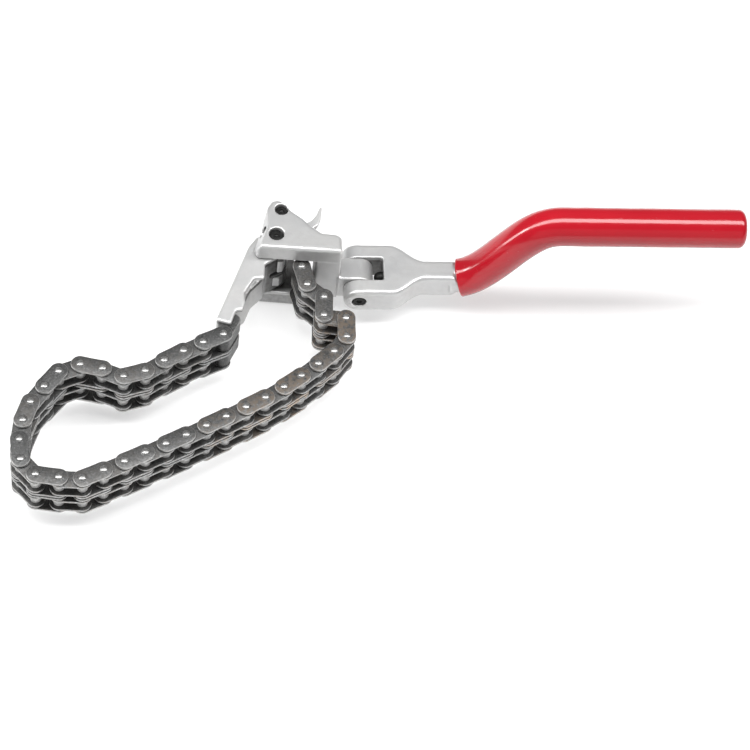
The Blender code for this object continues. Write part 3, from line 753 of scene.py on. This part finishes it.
def build_springs():
    lx, ly = LEVER_PIVOT
    n, turns, r = 28, 3, 3.35
    coil([(lx + r * math.cos(2 * math.pi * i / n), ly + r * math.sin(2 * math.pi * i / n), 10.0 + 4.6 * i / (n * turns))
          for i in range(n * turns + 1)], 0.45, "lever_coil", "head", "lever_spring")
    n, turns, r = 20, 5, 2.0
    coil([(14.0 + 8.0 * i / (n * turns), r * math.cos(2 * math.pi * i / n), AXIS_Z + r * math.sin(2 * math.pi * i / n))
          for i in range(n * turns + 1)], 0.4, "plunger_coil", "handle", "plunger_spring")
    p = spin([(0, 6.0), (0.7, 5.9), (1.3, 5.6), (1.9, 5.1), (2.3, 4.4), (2.52, 3.7), (2.6, 3.0), (2.6, 0.2), (2.4, 0), (0, 0)],
             TZ((13.0, 0, AXIS_Z)) @ Matrix.Rotation(-math.pi / 2, 4, "Y"), 30)
    done(p, "plunger_steel", "handle", BLACK, ["friction_plunger"], sharp=40)


# --------------------------------------------------------------------- handle
def crank(x):
    t = min(max((x - CRANK_START) / (CRANK_END - CRANK_START), 0.0), 1.0)
    return AXIS_Z + CRANK_RISE * t * t * t * (t * (6 * t - 15) + 10)


def bar_frame(x):
    h = 0.05
    dz = (crank(x + h) - crank(x - h)) / (2 * h)
    l = math.hypot(1, dz)
    return (x, crank(x)), (1 / l, dz / l)


def bar_ring(x, r, n=48, along=0.0, flat=0.0):
    """Ring of radius r round the bar at x, moved by `along` on its tangent."""
    (cx, cz), (tx, tz) = bar_frame(x)
    cx += tx * along
    cz += tz * along
    out = []
    for k in range(n):
        a = 2 * math.pi * k / n
        u, v = r * math.cos(a), r * math.sin(a)
        out.append((cx - tz * v, u, cz + tx * v))
    return out


def build_fork():
    half = [(0.0, FORK_HALF), (14.0, FORK_HALF)]
    for i in range(1, 17):
        t = i / 16
        half.append((14.0 + 15.0 * t, SHANK_HALF + (FORK_HALF - SHANK_HALF) * (0.5 + 0.5 * math.cos(math.pi * t))))
    half += [(34.0, SHANK_HALF), (38.0, SHANK_HALF), (GRIP_START - 1.6, SHANK_HALF)]
    outline = [(x, y) for x, y in reversed(half)] + [(x, -y) for x, y in half]
    outline = rounded([(x, y, 0.0) for x, y in outline])
    body = plate(list(reversed(outline)) if area(outline) < 0 else outline,
                 AXIS_Z - FORK_R, AXIS_Z + FORK_R, top=1.9, bottom=1.9, round_steps=5)
    ends = spin([(FORK_R - 1.4, FORK_HALF - 0.1), (FORK_R - 0.5, FORK_HALF - 0.45), (FORK_R, FORK_HALF - 1.4),
                 (FORK_R, -FORK_HALF + 1.4), (FORK_R - 0.5, -FORK_HALF + 0.45), (FORK_R - 1.4, -FORK_HALF + 0.1)],
                TZ((0, 0, AXIS_Z)) @ Matrix.Rotation(math.pi / 2, 4, "X"), 48)
    for v in body.data.vertices:
        t = min(max((v.co.x - 14.0) / 15.0, 0.0), 1.0)
        v.co.z = AXIS_Z + (v.co.z - AXIS_Z) * (1 + (SHANK_R / FORK_R - 1) * t)
    rings = [bar_ring(x, SHANK_R - 0.05) for x in (40.0, 42.0, 44.0, 46.0, 48.0, 50.0)]
    bar = stack(rings)
    body = fuse(union(body, ends, bar), 0.3)
    slot = [(-9.0, -FORK_SLOT_HALF, 0), (FORK_SLOT_END, -FORK_SLOT_HALF, 1.0), (FORK_SLOT_END, FORK_SLOT_HALF, 1.0),
            (-9.0, FORK_SLOT_HALF, 0)]
    body = cut(body, plate(rounded(slot), AXIS_Z - 9, AXIS_Z + 9),
               cyl_y(0, AXIS_Z, -16, 16, FLEX_PIN_R + 0.15),
               cyl_x(0, AXIS_Z, FORK_SLOT_END - 1, 23.0, 2.9))
    body = soften(body, 0.34, 5, 0.5)
    done(body, "fork_casting", "handle", CAST_FORK, ["handle_bar"])
    # the bar inside the grip
    xs = list(np.linspace(49.0, GRIP_END - 3.0, 60))
    core = stack([bar_ring(x, SHANK_R - 0.02, 32) for x in xs])
    done(core, "bar_core", "handle", CAST_FORK, [], sharp=40)


def area(o):
    return 0.5 * sum(o[i - 1][0] * o[i][1] - o[i][0] * o[i - 1][1] for i in range(len(o)))


def build_grip():
    """Dipped sleeve: a rolled rim, an even wall and a rounded closed end."""
    rng = np.random.RandomState(4)
    rings = []
    inner_r = SHANK_R + 0.05
    # rim, from the inside out
    for k in range(9):
        a = math.pi * k / 8
        rr = (GRIP_R + inner_r) / 2 - (GRIP_R - inner_r) / 2 * math.cos(a)
        rings.append(bar_ring(GRIP_START + 0.9, rr, 64, along=-0.9 * math.sin(a)))
    xs = np.linspace(GRIP_START + 1.6, GRIP_END - 3.2, 150)
    for x in xs:
        swell = 0.03 * math.sin(x * 0.21) + 0.02 * math.sin(x * 0.53 + 1.0)
        rings.append(bar_ring(x, GRIP_R - 0.06 + swell, 64))
    for k in range(1, 13):
        a = math.pi / 2 * k / 12
        rings.append(bar_ring(GRIP_END - 3.0, GRIP_R - 0.05 - 3.0 * (1 - math.cos(a)), 64, along=3.0 * math.sin(a)))
    r_end = GRIP_R - 3.05
    for f in (0.75, 0.5, 0.25, 0.06):
        rings.append(bar_ring(GRIP_END - 3.0, r_end * f, 64, along=3.0 + 0.0 * (1 - f * f)))
    inner = [bar_ring(GRIP_START + 0.9, inner_r, 64, along=0.0)]
    ob = stack(rings)
    # open the mouth: the first cap goes, and an inner wall takes its place
    bm = bmesh.new()
    bm.from_mesh(ob.data)
    cap = [f for f in bm.faces if len(f.verts) == 64 and abs(f.calc_center_median().x - (GRIP_START + 0.9)) < 2.5]
    ring_edges = list(cap[0].edges)
    bmesh.ops.delete(bm, geom=cap, context="FACES_ONLY")
    ext = bmesh.ops.extrude_edge_only(bm, edges=[e for e in ring_edges if e.is_valid])
    nv = [g for g in ext["geom"] if isinstance(g, bmesh.types.BMVert)]
    for v in nv:
        v.co.x += 6.0
    ne = [g for g in ext["geom"] if isinstance(g, bmesh.types.BMEdge) and all(v in nv for v in g.verts)]
    bmesh.ops.contextual_create(bm, geom=ne)
    bmesh.ops.recalc_face_normals(bm, faces=bm.faces)
    bm.to_mesh(ob.data)
    bm.free()
    done(ob, "grip_dipped", "handle", GRIP, ["grip"], sharp=60, attrs=False)


# ---------------------------------------------------------------------- chain
def link_headings():
    out = []
    for n, a, b in LAY:
        out += [a + (b - a) * (i / max(n - 1, 1)) for i in range(n)]
    return out


def walk(headings):
    pts = [JAW_PIN]
    for h in headings:
        x, y = pts[-1]
        pts.append((x + PITCH * math.cos(math.radians(h)), y + PITCH * math.sin(math.radians(h))))
    return pts


def chain_pins():
    base = link_headings()

    def lay(d1, d2):
        return [h + (d1 if LEFT_END[0] <= i < LEFT_END[1] else 0) + (d2 if LOWER_RUN[0] <= i < LOWER_RUN[1] else 0)
                for i, h in enumerate(base)]

    d = [0.0, 0.0]
    for _ in range(12):
        end = walk(lay(*d))[-1]
        err = (end[0] - SLOT_SEAT[0], end[1] - SLOT_SEAT[1])
        cols = []
        for j in range(2):
            e = list(d)
            e[j] += 0.01
            q = walk(lay(*e))[-1]
            cols.append(((q[0] - end[0]) / 0.01, (q[1] - end[1]) / 0.01))
        (a, c), (b, f) = cols
        det = a * f - b * c
        d[0] -= (f * err[0] - b * err[1]) / det
        d[1] -= (a * err[1] - c * err[0]) / det
    hs = lay(*d)
    return walk(hs), hs


def link_outline(r, waist=0.12):
    """Straight-sided oblong with a very slight waist."""
    pts = arc(PITCH, 0, r, -90, 90, 16)
    pts += [(PITCH * (1 - k / 6), r - waist * math.sin(math.pi * k / 6)) for k in range(1, 6)]
    pts += arc(0, 0, r, 90, 270, 16)
    pts += [(PITCH * k / 6, -r + waist * math.sin(math.pi * k / 6)) for k in range(1, 6)]
    return pts


class Bits:
    """Collects shells of several materials into one mesh."""
    def __init__(self):
        self.v, self.f, self.m = [], [], []

    def add(self, ob, mat):
        n = len(self.v)
        self.v += [tuple(v.co) for v in ob.data.vertices]
        self.f += [[n + i for i in p.vertices] for p in ob.data.polygons]
        # upright plate faces take slot 3, the painted-light copy of the chain steel
        self.m += [3 if mat == 0 and abs(p.normal.z) < 0.5 else mat for p in ob.data.polygons]
        me = ob.data
        bpy.data.objects.remove(ob, do_unlink=True)
        bpy.data.meshes.remove(me)


def outer_bits():
    b = Bits()
    for z0, z1, r, t, u in ((9.85, 11.1, 3.88, 0.28, 0.16), (-11.1, -9.85, 3.88, 0.16, 0.28),
                            (0.28, 1.62, 3.9, 0.16, 0.16), (-1.62, -0.28, 3.9, 0.16, 0.16)):
        b.add(plate(link_outline(r), z0, z1, t, u), 0)
    for x in (0, PITCH):
        h = 11.65
        prof = [(0, h), (0.55, h - 0.02), (0.9, h - 0.10), (1.25, h - 0.24), (1.5, h - 0.42), (1.56, 11.05),
                (1.5, 10.9), (1.5, -10.9), (1.56, -11.05), (1.5, -h + 0.42), (1.25, -h + 0.24), (0.9, -h + 0.10),
                (0.55, -h + 0.02), (0, -h)]
        b.add(spin(prof, TZ((x, 0, 0)), 20), 1)
        # shallow ring pressed into the plate round each pin
        for s in (1, -1):
            z = s * 11.1
            ring = [(1.56, z - s * 0.1), (1.62, z + s * 0.08), (1.8, z + s * 0.11), (2.0, z + s * 0.05), (2.15, z - s * 0.1)]
            b.add(spin(ring if s > 0 else ring[::-1], TZ((x, 0, 0)), 24), 0)
    return b


def inner_bits():
    b = Bits()
    for z0, z1 in ((8.25, 9.5), (1.95, 3.2), (-3.2, -1.95), (-9.5, -8.25)):
        b.add(plate(link_outline(3.9), z0, z1, 0.2, 0.2), 0)
    for x in (0, PITCH):
        for z0, z1 in ((3.1, 8.35), (-8.35, -3.1)):
            b.add(spin([(2.15, z0), (2.3, z0 + 0.15), (2.3, z1 - 0.15), (2.15, z1)], TZ((x, 0, 0)), 24), 2)
    return b


def build_chain():
    pins, hs = chain_pins()
    shapes = {"outer": outer_bits(), "inner": inner_bits()}
    rng = np.random.RandomState(11)
    rusty = {24: 0.75, 26: 0.85, 28: 0.45, 30: 0.95, 31: 0.6, 22: 0.4}
    for i, ((x, y), h) in enumerate(zip(pins, hs)):
        kind = "outer" if i % 2 == 0 else "inner"
        name = f"{kind}_link_{i // 2 + 1:02d}"
        bits = shapes[kind]
        me = bpy.data.meshes.new(name + "_look")
        me.from_pydata(bits.v, [], bits.f)
        me.materials.append(CHAIN)
        me.materials.append(RIVET)
        me.materials.append(BUSH)
        me.materials.append(CHAIN_SIDE_LIT)
        me.polygons.foreach_set("material_index", bits.m)
        me.update()
        ob = link(me, name + "_look")
        bm = bmesh.new()
        bm.from_mesh(me)
        bmesh.ops.recalc_face_normals(bm, faces=bm.faces)
        bm.to_mesh(me)
        bm.free()
        # rim vertices catch the light; a value per link varies the tone
        zs = np.empty(len(me.vertices) * 3, np.float32)
        me.vertices.foreach_get("co", zs)
        zs = zs.reshape(-1, 3)
        seg = np.clip(zs[:, 0], 0, PITCH)
        dist = np.hypot(zs[:, 0] - seg, zs[:, 1])
        edge = np.clip((dist - 3.68) / 0.14, 0, 1) * (np.abs(np.abs(zs[:, 2]) - 11.0) < 0.3)
        tone = float(rng.uniform(0.2, 0.8))
        rust = rusty.get(i, float(rng.uniform(0.0, 0.18)))
        for an, vals in (("edge", edge), ("tint", np.full(len(edge), tone)), ("rust", np.full(len(edge), rust))):
            at = me.attributes.new(an, "FLOAT", "POINT")
            at.data.foreach_set("value", np.asarray(vals, np.float32))
        me.transform(TZ((x, y, CHAIN_Z)) @ Matrix.Rotation(math.radians(h), 4, "Z"))
        done(ob, name + "_look", name, None, [name], sharp=38, attrs=False)


# ------------------------------------------------------------ floor and lights
def build_stage():
    bm = bmesh.new()
    n = 8
    s = 3.0
    g = [[bm.verts.new((-s + 2 * s * i / n, -s + 2 * s * j / n, -0.0006)) for j in range(n + 1)] for i in range(n + 1)]
    for i in range(n):
        for j in range(n):
            bm.faces.new((g[i][j], g[i + 1][j], g[i + 1][j + 1], g[i][j + 1]))
    ob = from_bm(bm, "floor")
    ob.data.materials.append(floor_material())

    def area_light(name, loc, target, size, energy, size_y=None, colour=(1, 1, 1)):
        d = bpy.data.lights.new(name, "AREA")
        d.shape = "RECTANGLE"
        d.size = size
        d.size_y = size_y or size
        d.energy = energy
        d.color = colour
        o = bpy.data.objects.new(name, d)
        o.location = loc
        o.rotation_euler = (Vector(target) - Vector(loc)).to_track_quat("-Z", "Y").to_euler()
        NEW.objects.link(o)
        return o

    area_light("sky_panel", (0.15, 0.85, 1.25), (0.02, 0.0, 0.0), 1.1, 0.3, 0.9)
    area_light("long_strip", (-0.9, -0.005, 0.90), (-0.9, -0.006, 0.0), 4.2, 44.0, 0.31)
    area_light("end_strip", (-1.75, -0.005, 0.52), (0.0, -0.005, 0.10), 0.31, 11.0, 0.95)
    area_light("front_fill", (0.0, -1.5, 0.62), (0.0, 0.0, 0.02), 2.6, 3.0, 1.2)
    soft = area_light("diffuse_fill", (0.0, -1.5, 0.50), (0.0, 0.0, 0.02), 2.2, 9.0, 1.0)
    soft.visible_glossy = False
    w = bpy.data.worlds.new("studio")
    w.use_nodes = True
    bg = w.node_tree.nodes["Background"]
    bg.inputs["Color"].default_value = (1.0, 1.0, 1.0, 1)
    bg.inputs["Strength"].default_value = 0.24
    bpy.context.scene.world = w
    bpy.context.scene.view_settings.view_transform = "Standard"
    bpy.context.scene.view_settings.look = "None"

    cam = bpy.data.cameras.new("photo_camera")
    cam.sensor_width = 36.0
    cam.sensor_fit = "HORIZONTAL"
    cam.lens = 144.0
    cam.clip_start = 0.05
    cam.clip_end = 20.0
    co = bpy.data.objects.new("photo_camera", cam)
    x = Vector((0.994773, -0.050752, 0.088605)).normalized()
    z = Vector((-0.101832, -0.557177, 0.824126)).normalized()
    y = z.cross(x).normalized()
    x = y.cross(z)
    m = Matrix.Identity(4)
    for i in range(3):
        m[i][0], m[i][1], m[i][2] = x[i], y[i], z[i]
    m.translation = Vector((-0.099122, -0.769099, 1.068373))
    co.matrix_world = m
    NEW.objects.link(co)
    bpy.context.scene.camera = co


build_stage()
build_head()
build_pins()
build_arm()
build_lever()
build_springs()
build_fork()
build_grip()
build_chain()
